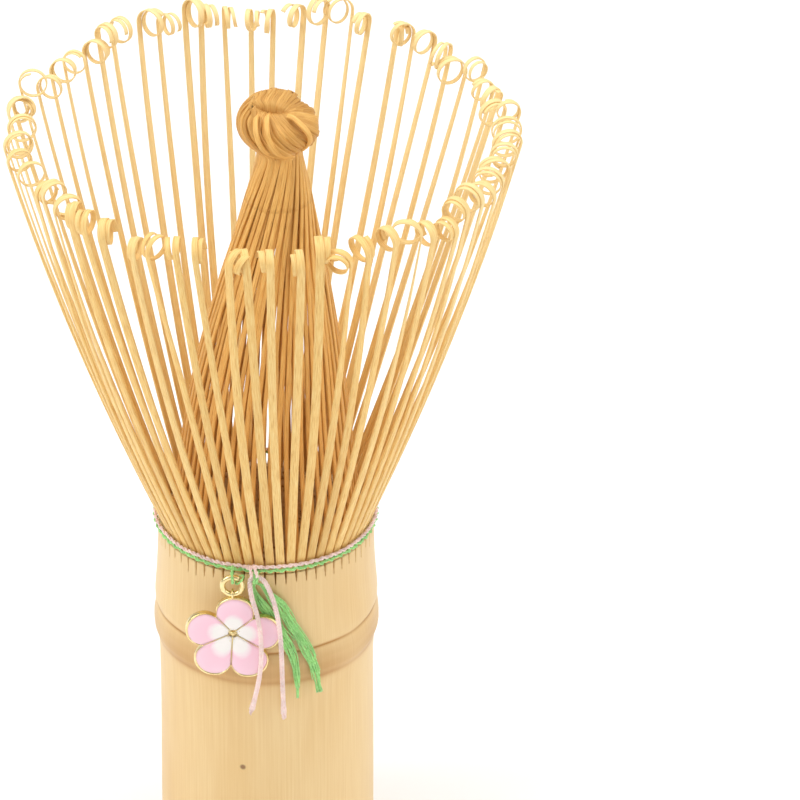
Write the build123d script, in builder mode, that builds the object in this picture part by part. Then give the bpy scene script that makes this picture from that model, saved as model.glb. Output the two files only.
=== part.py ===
from build123d import *
from math import cos, pi, radians, sin, tan
import os

# A bamboo tea whisk with a two-colour thread binding and a blossom charm.
# Millimetres, +Z up. The origin is the middle of the base, and the charm hangs on the -Y side.

os.makedirs("parts", exist_ok=True)

# Culm: the unsplit length of bamboo that is the handle
culm_radius = 14.6
bore_radius = 10.2
base_chamfer = 0.4
ridge_start = 34.6
neck_radius = 14.7
handle_top = 53.3
cup_radius = 12.3
diaphragm_bottom = 36.2
diaphragm_top = 38.2
bore_shoulder = 31.2
# Points of the wall at its node, as (radius, height)
node_ridge = (15.25, 37.8)
scar = (15.0, 40.7)
scar_lip = (15.1, 41.7)
lower_neck = (14.82, 46.7)
cup_side = (11.1, 43.2)

# Splits: 16 first splits, each halved twice, make 64 staves round the culm
section_count = 16
tines_per_section = 4
tine_count = section_count * tines_per_section
tine_pitch = 360 / tine_count
section_angle = 360 / section_count
slit_width = 0.3
slit_depth = 3.0
slit_margin = 1.0

# Outer tines: the skin side of each stave, bent out over the thread and curled in at the tip.
# They all lean sideways by the same angle above their bend, clockwise seen from above.
root_gap = 0.12
outer_root_radius = 14.6
outer_bend_height = 54.9
outer_bend_slope = 0.42
outer_root_thickness = 0.42
outer_tip_thickness = 0.24
outer_width = 1.1
outer_lean = 3.2
curl_radius = 2.0
curl_centre = (32.75, 114.0)
curl_start = -17.5
curl_turn = 180
curl_inner_radius = 1.55
curl_inner_turn = 140
# Outer face of a tine between its bend and its curl, as (radius, height)
outer_face = [(17.4, 61.4), (24.6, 81.4), (31.3, 101.4)]

# Inner tines: the pith side of each stave, leaning in to the knot, whose axis is off centre
knot_lean = 2.1
# Middle of an inner tine, as (height, radius, lean of the bundle, thickness, width)
inner_stations = [
    (handle_top, 12.75, 0.0, 0.5, 0.6),
    (60.0, 12.1, 0.1, 0.5, 0.58),
    (72.0, 10.55, 0.35, 0.48, 0.55),
    (81.5, 9.25, 0.75, 0.46, 0.5),
    (97.4, 5.75, 1.65, 0.44, 0.4),
    (104.0, 4.3, knot_lean, 0.42, 0.36),
]

# Knot: the twisted tips of the inner tines
knot_bottom = inner_stations[-1][0]
knot_top = 120.0
knot_base_radius = 4.55
knot_neck = (3.3, 111.2)
knot_widest = (5.4, 115.4)
knot_shoulder = (3.7, 118.9)

# Binding thread, in two turns round the roots of the outer tines
thread_radius = 0.25
binding_radius = 15.0
pink_height = 54.72
green_height = 54.18

# Jump ring and charm, which hang in one plane in front of the handle
hang_y = -16.35
hang_z = 54.0
ring_x = -4.35
ring_radius = 1.35
ring_wire = 0.38
ring_z = hang_z - ring_radius
loop_radius = 1.1
loop_wire = 0.22
loop_back = 0.2
loop_rise = 0.25
bail_radius = 0.65
bail_wire = 0.2
bail_clearance = 0.08
charm_thickness = 1.0
charm_tilt = -4.0
petal_count = 5
petal_reach = 3.85
petal_radius = 2.7
petal_cell_radius = 2.08
cell_depth = 0.45
charm_boss_radius = 0.75
charm_boss_rise = 0.15
charm_ring_gap = 0.12

# Thread knot and tails
knot_loop_x = -1.25
knot_loop_radius = 0.72
knot_loop_wire = 0.25
pink_radius = 0.35
green_radius = 0.25
# Fraction of the shorter run that an arc takes at each corner of a thread's route
arc_share = 0.45

pink_route = [
    (-1.85, -16.15, 32.6),
    (-1.25, -16.75, 35.6),
    (-0.75, -17.35, 38.8),
    (-0.50, -17.55, 42.0),
    (-0.55, -17.60, 45.4),
    (-1.00, -17.60, 48.6),
    (-1.65, -17.45, 50.9),
    (-2.00, -16.80, 52.6),
    (-2.00, hang_y, hang_z),
    (-0.45, hang_y, hang_z),
    (0.35, -16.70, 52.9),
    (1.10, -17.20, 51.1),
    (1.70, -17.55, 48.6),
    (2.10, -17.60, 45.2),
    (2.25, -17.45, 41.5),
    (2.28, -16.95, 38.0),
    (2.36, -16.50, 34.8),
    (2.45, -16.15, 31.8),
]

green_route = [
    (4.35, -14.90, 33.6),
    (4.30, -15.05, 36.6),
    (3.95, -15.20, 39.6),
    (3.10, -15.32, 42.3),
    (1.90, -15.32, 44.7),
    (0.70, -15.28, 46.9),
    (-0.50, -15.30, 48.8),
    (-1.35, -15.40, 50.9),
    (-1.55, -15.60, 52.5),
    (-0.45, -15.60, 52.5),
    (0.35, -15.45, 51.3),
    (1.40, -15.30, 49.6),
    (2.60, -15.15, 47.4),
    (3.75, -15.00, 45.0),
    (5.05, -14.85, 42.7),
    (6.20, -14.62, 39.9),
    (6.95, -14.42, 37.0),
    (7.40, -14.20, 34.1),
]


def save(piece, name):
    """Label a finished piece and write it under its node name."""
    piece.part.label = name
    export_step(piece.part, f"parts/{name}.step")


def leaning_plane(angle, height, radius, lean):
    """Horizontal plane at one station of an inner tine, with its X away from the bundle's axis."""
    out = (cos(radians(angle)), sin(radians(angle)), 0)
    return Plane(origin=(lean + radius * out[0], radius * out[1], height), x_dir=out, z_dir=(0, 0, 1))


def corner_radii(route):
    """Largest tangent arc at each corner of a route that leaves its runs a straight middle."""
    points = [Vector(*point) for point in route]
    radii = []
    for before, corner, after in zip(points, points[1:], points[2:]):
        turn = (corner - before).get_angle(after - corner)
        shorter = min((corner - before).length, (after - corner).length)
        radii.append(arc_share * shorter / tan(radians(turn / 2)))
    return radii


def thread_tube(route, radius, name):
    """Round thread along straight runs joined by tangent arcs, with its radii and volume printed."""
    radii = corner_radii(route)
    with BuildPart() as tube:
        with BuildLine() as path:
            FilletPolyline(*route, radius=radii)
        centreline = path.wire()
        with BuildSketch(Plane(origin=centreline @ 0, z_dir=centreline % 0)):
            Circle(radius)
        sweep()
    expected = pi * radius**2 * centreline.length
    print(name, "length", round(centreline.length, 2), "radii", [round(r, 2) for r in radii])
    print(name, "volume", round(tube.part.volume, 3), "of", round(expected, 3))
    save(tube, name)


# Handle: a turned culm with a node ridge, a sheath scar, and a bore above and below its diaphragm
with BuildPart() as slit:
    with BuildSketch(Plane.YZ.offset(cup_radius - slit_margin)):
        with BuildLine():
            Polyline(
                (-slit_width / 2, handle_top),
                (0, handle_top - slit_depth),
                (slit_width / 2, handle_top),
                close=True,
            )
        make_face()
    extrude(amount=culm_radius - cup_radius + 2 * slit_margin)

with BuildPart() as handle:
    with BuildSketch(Plane.XZ):
        with BuildLine():
            Polyline(
                (bore_radius, 0),
                (culm_radius - base_chamfer, 0),
                (culm_radius, base_chamfer),
                (culm_radius, ridge_start),
            )
            Spline((culm_radius, ridge_start), node_ridge, scar, tangents=[(0, 1), (-0.5, 1)])
            Spline(
                scar,
                scar_lip,
                lower_neck,
                (neck_radius, handle_top),
                tangents=[(0.6, 1), (0, 1)],
            )
            Line((neck_radius, handle_top), (cup_radius, handle_top))
            Spline(
                (cup_radius, handle_top),
                cup_side,
                (0, diaphragm_top),
                tangents=[(-0.1, -1), (-1, 0)],
            )
            Line((0, diaphragm_top), (0, diaphragm_bottom))
            Spline(
                (0, diaphragm_bottom),
                (bore_radius, bore_shoulder),
                tangents=[(1, 0), (0, -1)],
            )
            Line((bore_radius, bore_shoulder), (bore_radius, 0))
        make_face()
    revolve(axis=Axis.Z)
    with PolarLocations(0, tine_count):
        add(slit.part, mode=Mode.SUBTRACT)
save(handle, "handle")

# Outer tines, four to a section, each a strip in its own radial plane
bend_start = (outer_root_radius, handle_top + root_gap)
curl_middle = Vector(*curl_centre)
curl_out = Vector(cos(radians(curl_start)), sin(radians(curl_start)))
curl_tangent = (-curl_out.Y, curl_out.X)
curl_step = curl_radius - curl_inner_radius
half_turn = radians(curl_start + curl_turn)
curl_inner_middle = curl_middle + Vector(cos(half_turn), sin(half_turn)) * curl_step


def strip_side(inset_root, inset_face, inset_tip):
    """One long side of a tine's strip: up the root, out over the thread and round the curl."""
    root = (bend_start[0] - inset_root, bend_start[1])
    bend = (outer_root_radius - inset_root, outer_bend_height)
    face = [(radius - inset_face, height) for radius, height in outer_face]
    tip = curl_middle + curl_out * (curl_radius - inset_tip)
    Line(root, bend)
    Spline(bend, *face, (tip.X, tip.Y), tangents=[(outer_bend_slope, 1), curl_tangent])
    CenterArc(curl_centre, curl_radius - inset_tip, curl_start, curl_turn)
    end = CenterArc(
        (curl_inner_middle.X, curl_inner_middle.Y),
        curl_inner_radius - inset_tip,
        curl_start + curl_turn,
        curl_inner_turn,
    )
    return root, end @ 1


with BuildPart() as outer_tine:
    with BuildSketch(Plane.XZ):
        with BuildLine():
            outer_root, outer_end = strip_side(0, 0, 0)
            inner_root, inner_end = strip_side(
                outer_root_thickness,
                (outer_root_thickness + outer_tip_thickness) / 2,
                outer_tip_thickness,
            )
            Line(outer_root, inner_root)
            Line(outer_end, inner_end)
        make_face()
    extrude(amount=outer_width / 2, both=True)
leaning_tine = outer_tine.part.rotate(Axis((0, 0, outer_bend_height), (1, 0, 0)), outer_lean)

for section in range(section_count):
    first_angle = section * section_angle + tine_pitch / 2
    with BuildPart() as outer_section:
        with PolarLocations(0, tines_per_section, first_angle, section_angle):
            add(leaning_tine)
    save(outer_section, f"outer_tines_{section + 1:02d}")

    # Inner tines of the same section, on the same staves
    with BuildPart() as inner_section:
        for tine in range(tines_per_section):
            angle = first_angle + tine * tine_pitch
            for height, radius, lean, thickness, width in inner_stations:
                with BuildSketch(leaning_plane(angle, height, radius, lean)):
                    Rectangle(thickness, width)
            loft(ruled=True)
    save(inner_section, f"inner_tines_{section + 1:02d}")

# Knot of inner tips: a short neck that opens into a flattened bun
with BuildPart() as inner_knot:
    with BuildSketch(Plane(origin=(knot_lean, 0, 0), x_dir=(1, 0, 0), z_dir=(0, -1, 0))):
        with BuildLine():
            Line((0, knot_bottom), (knot_base_radius, knot_bottom))
            Spline(
                (knot_base_radius, knot_bottom),
                knot_neck,
                knot_widest,
                knot_shoulder,
                (0, knot_top),
                tangents=[(-0.2, 1), (-1, 0)],
            )
            Line((0, knot_top), (0, knot_bottom))
        make_face()
    revolve(axis=Axis((knot_lean, 0, 0), (0, 0, 1)))
save(inner_knot, "inner_knot")

# Binding: one turn of each colour
for name, height in (("pink", pink_height), ("green", green_height)):
    with BuildPart() as binding:
        with Locations((0, 0, height)):
            Torus(binding_radius, thread_radius)
    save(binding, f"binding_thread_{name}")

# Thread loops that stand out of the binding: one holds the tails, the other the jump ring
with BuildPart() as binding_knot:
    with Locations(Location((knot_loop_x, hang_y, hang_z), (0, 90, 0))):
        Torus(knot_loop_radius, knot_loop_wire)
save(binding_knot, "binding_knot")

with BuildPart() as charm_loop:
    with Locations(Location((ring_x, hang_y + loop_back, hang_z + loop_rise), (0, 90, 0))):
        Torus(loop_radius, loop_wire)
save(charm_loop, "charm_loop")

with BuildPart() as jump_ring:
    with Locations(Location((ring_x, hang_y, ring_z), (90, 0, 0))):
        Torus(ring_radius, ring_wire)
save(jump_ring, "jump_ring")

# Charm: a cast blossom with a bail, and a pocket in each petal for its enamel
ring_bottom = ring_z - ring_radius
charm_z = ring_bottom - ring_wire - charm_ring_gap - petal_reach - petal_radius
bail_z = ring_bottom + ring_wire + bail_wire + bail_clearance - bail_radius
charm_back = Plane(
    origin=(ring_x, hang_y + charm_thickness / 2, charm_z), x_dir=(1, 0, 0), z_dir=(0, -1, 0)
)
charm_front = charm_back.offset(charm_thickness)
first_petal = 90 + charm_tilt

with BuildPart() as charm_plate:
    with BuildSketch(charm_back):
        Circle(petal_reach)
        with PolarLocations(petal_reach, petal_count, first_petal):
            Circle(petal_radius)
    extrude(amount=charm_thickness)
    with BuildSketch(charm_front):
        with PolarLocations(petal_reach, petal_count, first_petal):
            Circle(petal_cell_radius)
    extrude(amount=-cell_depth, mode=Mode.SUBTRACT)
    with BuildSketch(charm_front):
        Circle(charm_boss_radius)
    extrude(amount=charm_boss_rise)
    with Locations(Location((ring_x, hang_y, bail_z), (0, 90, 0))):
        Torus(bail_radius, bail_wire)
save(charm_plate, "charm_plate")

for petal in range(petal_count):
    petal_angle = first_petal + petal * 360 / petal_count
    with BuildPart() as petal_enamel:
        with BuildSketch(charm_front):
            with PolarLocations(petal_reach, 1, petal_angle):
                Circle(petal_cell_radius)
        extrude(amount=-cell_depth)
    save(petal_enamel, f"petal_enamel_{petal + 1}")

# Tails: each colour is one thread, folded at its middle, with both ends hanging
thread_tube(pink_route, pink_radius, "tails_pink")
thread_tube(green_route, green_radius, "tails_green")
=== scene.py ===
import math
import random

import bmesh
import bpy
import numpy as np
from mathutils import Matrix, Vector, noise


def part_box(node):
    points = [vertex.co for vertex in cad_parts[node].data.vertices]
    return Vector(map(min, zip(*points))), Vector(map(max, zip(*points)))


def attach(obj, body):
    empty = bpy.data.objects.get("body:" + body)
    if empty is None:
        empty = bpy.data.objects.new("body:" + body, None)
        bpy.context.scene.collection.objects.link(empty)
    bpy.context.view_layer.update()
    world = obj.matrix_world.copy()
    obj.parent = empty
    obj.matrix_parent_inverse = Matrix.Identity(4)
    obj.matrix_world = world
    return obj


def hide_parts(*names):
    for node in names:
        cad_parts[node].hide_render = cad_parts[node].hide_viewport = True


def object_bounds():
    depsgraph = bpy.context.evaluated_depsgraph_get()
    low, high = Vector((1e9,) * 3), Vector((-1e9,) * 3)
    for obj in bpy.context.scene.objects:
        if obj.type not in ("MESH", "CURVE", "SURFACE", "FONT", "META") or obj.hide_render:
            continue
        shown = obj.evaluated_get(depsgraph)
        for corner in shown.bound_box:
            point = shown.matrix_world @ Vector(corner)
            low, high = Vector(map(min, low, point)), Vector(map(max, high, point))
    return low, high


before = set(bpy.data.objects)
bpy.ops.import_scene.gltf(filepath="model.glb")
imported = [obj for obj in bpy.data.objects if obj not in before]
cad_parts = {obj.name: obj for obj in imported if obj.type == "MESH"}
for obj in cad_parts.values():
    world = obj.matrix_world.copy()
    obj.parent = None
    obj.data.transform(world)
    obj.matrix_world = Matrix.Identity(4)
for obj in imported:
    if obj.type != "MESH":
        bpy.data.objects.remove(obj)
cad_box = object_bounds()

# A bamboo tea whisk. Lengths below are in millimetres and angles in degrees, in the CAD frame:
# +Z up from the middle of the base, the charm on the -Y side. MM turns a length into metres.
MM = 0.001
rng = random.Random(64)

# -------------------- driving values

SECTIONS = 16
TINES_PER_SECTION = 4
TINES = SECTIONS * TINES_PER_SECTION
PITCH = 360 / TINES

HANDLE_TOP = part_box("handle")[1].z / MM
RING_LOW, RING_HIGH = (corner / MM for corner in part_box("jump_ring"))
RING_CENTRE = (RING_LOW + RING_HIGH) / 2
RING_WIRE = (RING_HIGH.y - RING_LOW.y) / 2
RING_RADIUS = (RING_HIGH.z - RING_LOW.z) / 2 - RING_WIRE
# The cut between the ends of the ring's wire, as the angles where the wire starts and stops
RING_CUT = (52, 407)
# Where the threads hang from, at the front of the binding
HANG_X = -1.25
HANG_Y = RING_CENTRE.y
HANG_Z = 54.0

# Handle: height and radius of the culm's outer wall, from the base up
CULM_WALL = [
    (0.0, 14.2), (0.12, 14.42), (0.4, 14.56), (1.0, 14.6), (8.0, 14.6), (18.0, 14.58), (28.0, 14.56),
    (32.5, 14.58), (34.2, 14.66), (35.2, 14.76), (35.9, 14.9), (36.4, 15.1), (36.9, 15.25), (37.6, 15.33),
    (38.8, 15.31), (39.8, 15.18), (40.4, 15.02), (40.72, 14.9), (41.0, 15.0), (41.4, 15.15), (42.2, 15.18),
    (43.5, 15.1), (45.5, 14.95), (48.0, 14.8), (50.5, 14.72), (HANDLE_TOP, 14.7),
]
# A dark fleck in the skin of the culm
SPECK = (-3.2, -14.25, 21.8)
# Rows of the wall's mesh, as (from, to, number), close together at the node and the slits
CULM_ROWS = [(2, 34, 14), (34.5, 45, 43), (46, HANDLE_TOP - 4, 8), (HANDLE_TOP - 4, HANDLE_TOP, 22)]
# Radius at which the grain round the wall is true to scale
GRAIN_RADIUS = 14.8
# Inside of the culm from its top rim: the cup, the diaphragm, then the bore down to the base
CULM_CUP = [
    (HANDLE_TOP, 12.3), (50.0, 12.0), (45.0, 11.4), (41.5, 10.6), (39.6, 8.6), (38.7, 5.5), (38.3, 2.5),
    (38.2, 0.05),
]
CULM_BORE = [
    (36.15, 0.05), (36.1, 2.5), (35.9, 5.0), (35.2, 8.0), (33.6, 9.7), (31.5, 10.1), (16.0, 10.2),
    (0.3, 10.2), (0.0, 10.45),
]
# Where the node is uneven, and the dark bands round it, as (height, reach, strength, unevenness):
# the first is the brown scar line of the sheath, the second and third are painted shade under the ridge,
# and the fourth is a faint darkening just above the ridge
NODE_HEIGHT = 38.6
NODE_REACH = 2.6
NODE_SCAR_AND_SHADE_BANDS = [
    (40.75, 0.22, 0.24, 0.18), (35.9, 0.5, 0.096, 0.072), (37.2, 1.7, 0.1275, 0.105),
    (39.4, 1.0, 0.051, 0.042),
]
SLIT_LENGTH = 1.9
SLIT_CUT = 1.3
SLIT_HALF_WIDTH = 0.15
SLIT_EDGE = 0.075
WELD_DISTANCE = 0.002
# Where the columns of a stave's mesh stand, as shares of the stave, close together at its slits
STAVE_COLUMNS = (0.0, 0.05, 0.1, 0.18, 0.34, 0.5, 0.66, 0.82, 0.9, 0.95)

# Outer tines
ROOT_HEIGHT = HANDLE_TOP + 0.15
BEND_HEIGHT = 54.9
OUTER_ROOT_RADIUS = 14.35
FLARE = 0.42
FLARE_EASE = 0.00146
# All the tines lean sideways by this angle above their bend, clockwise seen from above
OUTER_LEAN = 3.2
CURL_HEIGHT = 113.2
CURL_RADIUS = 1.75
CURL_TURN = (450, 680)
OUTER_STEPS = 34
CURL_STEPS = 46
ROOT_WIDTH = 1.16
TIP_WIDTH = 0.72
FRONT_WIDENING = 0.32
ROOT_DEPTH = 0.46
TIP_DEPTH = 0.2
# The one tine at the front whose curl is turned nearly face on
FACE_ON_TINE = 55
FACE_ON_TWIST = 37

# Inner tines, as (height, radius, lean of the bundle to +X, share of their gathering, twist)
STRAND = [
    (HANDLE_TOP, 12.75, 0.0, 0, 0), (60.0, 12.1, 0.1, 0, 0), (72.0, 10.6, 0.35, 0.25, 0),
    (81.5, 9.1, 0.75, 0.5, 2), (91.0, 7.25, 1.25, 0.8, 5), (97.4, 5.8, 1.65, 1, 9),
    (104.0, 4.4, 2.0, 1, 19), (108.0, 3.45, 2.15, 1, 29), (111.0, 2.9, 2.2, 1, 38),
]
STRAND_WIDTH = 0.62
STRAND_DEPTH = 0.44
STRAND_TOP_DEPTH = 0.32
# How much deeper every second strand lies in the bundle, and on the bun
BUNDLE_LAYER = 0.42
BUN_LAYER = 0.38
STRAND_STEPS = 6
# The sample of a strand where the knot's mesh takes over, and how the tine's own end shrinks there
STRAND_SPLIT = STRAND_STEPS * (len(STRAND) - 3)
STRAND_SINKS = (0.97, 0.9, 0.8)
# Samples of a strand that narrow where it dives into the crease, and darken there with painted shade
DIVE_STEPS = 12
# Cracks between the locks of the bundle, as (angle, strength)
CRACKS = [
    (20, 0.6), (61, 0.9), (98, 0.5), (130, 0.8), (165, 0.6), (203, 0.7), (236, 1.0), (257, 0.5),
    (276, 0.8), (294, 0.5), (309, 0.7), (340, 0.8),
]
CRACK_SHIFT = 3.0
CRACK_REACH = 7.0

# Knot: a strand's way over the bun, as (height, radius, turn about its axis)
KNOT_CENTRE = (2.1, 0.0, 115.0)
BUN = [
    (112.1, 3.3, -4), (113.1, 4.3, -12), (114.2, 5.05, -24), (115.5, 5.3, -38), (116.9, 4.85, -52),
    (118.0, 3.6, -64),
]
# Lobes of the bun, as (angle, fullness, rise)
LOBES = [
    (0, 1.0, -0.9), (38, 0.94, -0.75), (60, 0.98, 0.2), (100, 0.98, 0.6), (150, 1.0, 0.5), (180, 1.04, 0.2),
    (212, 1.0, -0.3), (230, 0.92, -0.9), (270, 0.95, -1.1), (298, 0.95, -1.1), (312, 0.9, -1.1),
    (330, 1.0, -1.0), (360, 1.0, -0.9),
]
# The crease in the top of the bun, where the strands dive in
CREASE_LEFT = (-0.4, -0.5, 117.7)
CREASE_RIGHT = (2.9, -1.5, 117.7)
# Strands that lie over the bun, from the crease down across its neck
WRAPS = [
    [(-0.5, -0.9, 117.2), (-0.85, -2.6, 117.7), (-0.9, -4.2, 116.7), (-0.45, -5.0, 115.2),
     (0.35, -4.9, 113.9), (1.4, -4.1, 112.8), (2.5, -3.3, 112.0)],
    [(0.9, -0.9, 117.2), (0.6, -2.7, 117.8), (0.6, -4.6, 116.9), (1.05, -5.35, 115.3),
     (1.95, -5.15, 113.8), (3.0, -4.2, 112.7), (4.0, -3.1, 112.0)],
    [(2.6, -1.5, 117.4), (3.9, -2.6, 117.8), (5.2, -3.7, 117.2), (6.1, -4.0, 116.1),
     (6.3, -3.7, 114.8), (5.9, -3.1, 113.7), (5.2, -2.7, 112.8)],
]
# Their width and depth
WRAP_SIZE = (0.7, 0.4)
# Packed strands inside the knot, as (height, radius)
KNOT_CORE = [
    (99, 0.3), (104, 2.9), (108, 2.6), (111.2, 2.4), (112.6, 3.4), (114, 4.2), (115.7, 4.35), (116.9, 3.3),
    (117.3, 1.6),
]

# Threads: the routes of the hanging tails, as in the CAD model
PINK_DIAMETER = 0.7
GREEN_DIAMETER = 0.5
PINK_ROUTE = [
    (-1.85, -16.15, 32.6), (-1.25, -16.75, 35.6), (-0.75, -17.35, 38.8), (-0.50, -17.55, 42.0),
    (-0.55, -17.60, 45.4), (-1.00, -17.60, 48.6), (-1.65, -17.45, 50.9), (-2.00, -16.80, 52.6),
    (-2.00, -16.35, 54.0), (-0.45, -16.35, 54.0), (0.35, -16.70, 52.9), (1.10, -17.20, 51.1),
    (1.70, -17.55, 48.6), (2.10, -17.60, 45.2), (2.25, -17.45, 41.5), (2.28, -16.95, 38.0),
    (2.36, -16.50, 34.8), (2.45, -16.15, 31.8),
]
GREEN_ROUTE = [
    (4.35, -14.90, 33.6), (4.30, -15.05, 36.6), (3.95, -15.20, 39.6), (3.10, -15.32, 42.3),
    (1.90, -15.32, 44.7), (0.70, -15.28, 46.9), (-0.50, -15.30, 48.8), (-1.35, -15.40, 50.9),
    (-1.55, -15.60, 52.5), (-0.45, -15.60, 52.5), (0.35, -15.45, 51.3), (1.40, -15.30, 49.6),
    (2.60, -15.15, 47.4), (3.75, -15.00, 45.0), (5.05, -14.85, 42.7), (6.20, -14.62, 39.9),
    (6.95, -14.42, 37.0), (7.40, -14.20, 34.1),
]
PINK_LENGTH = 46.0
GREEN_LENGTH = 41.2
# Turns of the binding, as (colour, height, seed of its unevenness, rise over each tine)
BINDING_TURNS = [("pink", 54.74, 1.0, 0.12), ("green", 54.2, 7.0, -0.05)]
BINDING_RADIUS = 15.04
# Threads, as (diameter, length of one turn of their plies)
BINDING_THREAD = (0.54, 1.7)
KNOT_THREAD = (0.46, 1.2)
PINK_KNOT_THREAD = (0.5, 1.4)
LOOP_THREAD = (0.42, 1.3)
SECOND_LOOP_THREAD = (0.3, 1.1)
PINK_TAIL_THREAD = (PINK_DIAMETER, 1.5)
# A ply's distance from the middle of its thread and its radius, as shares of the thread's diameter
PLY_OFFSET = 0.24
PLY_RADIUS = 0.27
# Loose fibres at each end of the pink tail: their number, lean and length
FRAY_FIBRES = 26
FRAY_LEAN = 0.1
FRAY_LENGTH = 1.6
# Turns of the knot round the fold of the tails, as (place to the side of the fold, radius)
KNOT_TURNS = [(-0.12, 0.72), (0.2, 0.68)]
# The ring's loop: how far its thread's middle stays inside the loop's box, and its second turn's radius
LOOP_INSET = 0.22
SECOND_LOOP_RADIUS = 0.74
FLOSS_FIBRES = 34
FLOSS_HALF_WIDTH = 0.95
# Strands of the pink knot, from behind the band over the green knot to the fold of the tails
PINK_KNOT = [
    [(-2.15, -15.0, 54.8), (-2.0, -15.8, 55.3), (-1.85, -16.6, 55.25), (-1.8, -17.15, 54.9),
     (-1.8, -17.3, 54.6)],
    [(-1.55, -15.0, 54.9), (-1.4, -15.9, 55.45), (-1.2, -16.7, 55.3), (-1.05, -17.2, 54.9),
     (-0.95, -17.3, 54.6)],
    [(-2.4, -15.2, 54.9), (-2.1, -15.9, 55.1), (-1.3, -16.2, 55.6), (-0.7, -15.9, 55.3),
     (-0.4, -15.1, 54.9)],
]

# Charm
PETALS = 5
CHARM_TILT = -4.0
PETAL_REACH = 3.95
PETAL_RADIUS = 2.76
CHARM_THICKNESS = 1.0
CHARM_FRONT = HANG_Y - CHARM_THICKNESS / 2
CHARM_CORNERS = [corner / MM for index in range(PETALS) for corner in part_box(f"petal_enamel_{index + 1}")]
CHARM_CENTRE = sum(CHARM_CORNERS, Vector()) / len(CHARM_CORNERS)
CHARM_CENTRE_RISE = 1.0
# From the middle of the back over the rim to the middle of the front, as (share of reach, depth)
PLATE_PROFILE = [
    (0.02, CHARM_THICKNESS), (0.5, CHARM_THICKNESS), (0.94, CHARM_THICKNESS), (0.985, 0.94), (1.0, 0.8),
    (1.0, 0.18), (0.99, 0.05), (0.975, 0.0), (0.955, 0.03), (0.942, 0.14), (0.938, 0.42), (0.5, 0.45),
    (0.02, 0.45),
]
RIM_WIDTH = 0.22
RIDGE_RADIUS = 0.045
NOTCH_DEPTH = 0.4
HEART_RADIUS = 0.3
HEART_HEIGHT = 0.2
BEAD_RADIUS = 0.09
# The bail: half of its width and height, its wire, and how far its top stays below the plate's box
BAIL_HALF_DEPTH = 0.58
BAIL_RADIUS = 0.65
BAIL_WIRE = 0.15
BAIL_TOP_GAP = 0.2
# The enamel of a petal: the heart's end of it, its edges' depth, its crown, its floor, rows and columns
ENAMEL_START = 0.11
ENAMEL_EDGE = 0.12
ENAMEL_CROWN = 0.2
ENAMEL_FLOOR = 0.4
ENAMEL_ROWS = 15
ENAMEL_COLUMNS = 17


# -------------------- mesh tools

class Shape:
    """Rings of points in millimetres, skinned into one mesh, with a UV in millimetres and a tone."""

    def __init__(self):
        self.points, self.faces, self.uvs, self.tones, self.kinds = [], [], [], [], []
        self.smooth = []
        self.count = 0

    def rings(self, rings, across, along, tone=0.5, kind=0, caps=True):
        """Skin closed rings. across has one more entry than a ring, along one entry a ring."""
        rings = np.asarray(rings, float)
        steps, around = rings.shape[:2]
        base = self.count
        self.points.append(rings.reshape(-1, 3))
        tones = np.broadcast_to(np.asarray(tone, float), (steps, around))
        self.tones.append(tones.reshape(-1))
        self.count += steps * around
        for i in range(steps - 1):
            low, high = base + i * around, base + (i + 1) * around
            for j in range(around):
                k = (j + 1) % around
                self.faces.append((low + j, low + k, high + k, high + j))
                self.uvs.extend((
                    (across[j], along[i]), (across[j + 1], along[i]),
                    (across[j + 1], along[i + 1]), (across[j], along[i + 1]),
                ))
                self.kinds.append(kind)
                self.smooth.append(True)
        if caps:
            for i in (0, steps - 1):
                self.faces.append(tuple(base + i * around + j for j in range(around)))
                self.uvs.extend((across[j], along[i]) for j in range(around))
                self.kinds.append(kind)
                self.smooth.append(False)

    def piece(self, name, materials, body, slot, nodes=(), weld=False):
        """Make the object, with its outer faces turned outwards, and hand it to its body."""
        mesh = bpy.data.meshes.new(name)
        points = np.concatenate(self.points) * MM
        mesh.from_pydata(points.tolist(), [], self.faces)
        uv = mesh.uv_layers.new(name="grain")
        uv.data.foreach_set("uv", np.asarray(self.uvs, np.float32).reshape(-1))
        tone = mesh.attributes.new("tone", "FLOAT", "POINT")
        tone.data.foreach_set("value", np.concatenate(self.tones).astype(np.float32))
        mesh.polygons.foreach_set("material_index", self.kinds)
        mesh.polygons.foreach_set("use_smooth", self.smooth)
        for material in materials:
            mesh.materials.append(material)
        work = bmesh.new()
        work.from_mesh(mesh)
        if weld:
            bmesh.ops.remove_doubles(work, verts=work.verts, dist=WELD_DISTANCE * MM)
            rims = [edge for edge in work.edges if edge.is_boundary]
            bmesh.ops.holes_fill(work, edges=rims, sides=0)
        bmesh.ops.recalc_face_normals(work, faces=work.faces)
        work.to_mesh(mesh)
        work.free()
        piece = add_object(name, mesh)
        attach(piece, body)
        if nodes:
            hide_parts(*nodes)
        return piece


def add_object(name, data):
    """New object in the scene."""
    item = bpy.data.objects.new(name, data)
    bpy.context.scene.collection.objects.link(item)
    return item


def cosine(angle):
    """Cosine of an angle in degrees."""
    return math.cos(math.radians(angle))


def sine(angle):
    """Sine of an angle in degrees."""
    return math.sin(math.radians(angle))


def bell(value, centre, reach):
    """One at the centre, falling smoothly to nothing beyond the reach."""
    return math.exp(-((value - centre) / reach) ** 2)


def polar(radius, angle, height):
    """Point at a radius and an angle about the whisk's axis."""
    return np.array((radius * cosine(angle), radius * sine(angle), height))


def oval(centre, first, second, angles):
    """Points of a circle or an oval about a centre, from its half axes, at angles."""
    turns = np.radians(angles)[:, None]
    return np.array(centre) + np.cos(turns) * np.array(first) + np.sin(turns) * np.array(second)


def unit(vectors):
    """Vectors of length one, along the last axis."""
    vectors = np.asarray(vectors, float)
    return vectors / np.maximum(np.linalg.norm(vectors, axis=-1, keepdims=True), 1e-9)


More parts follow.
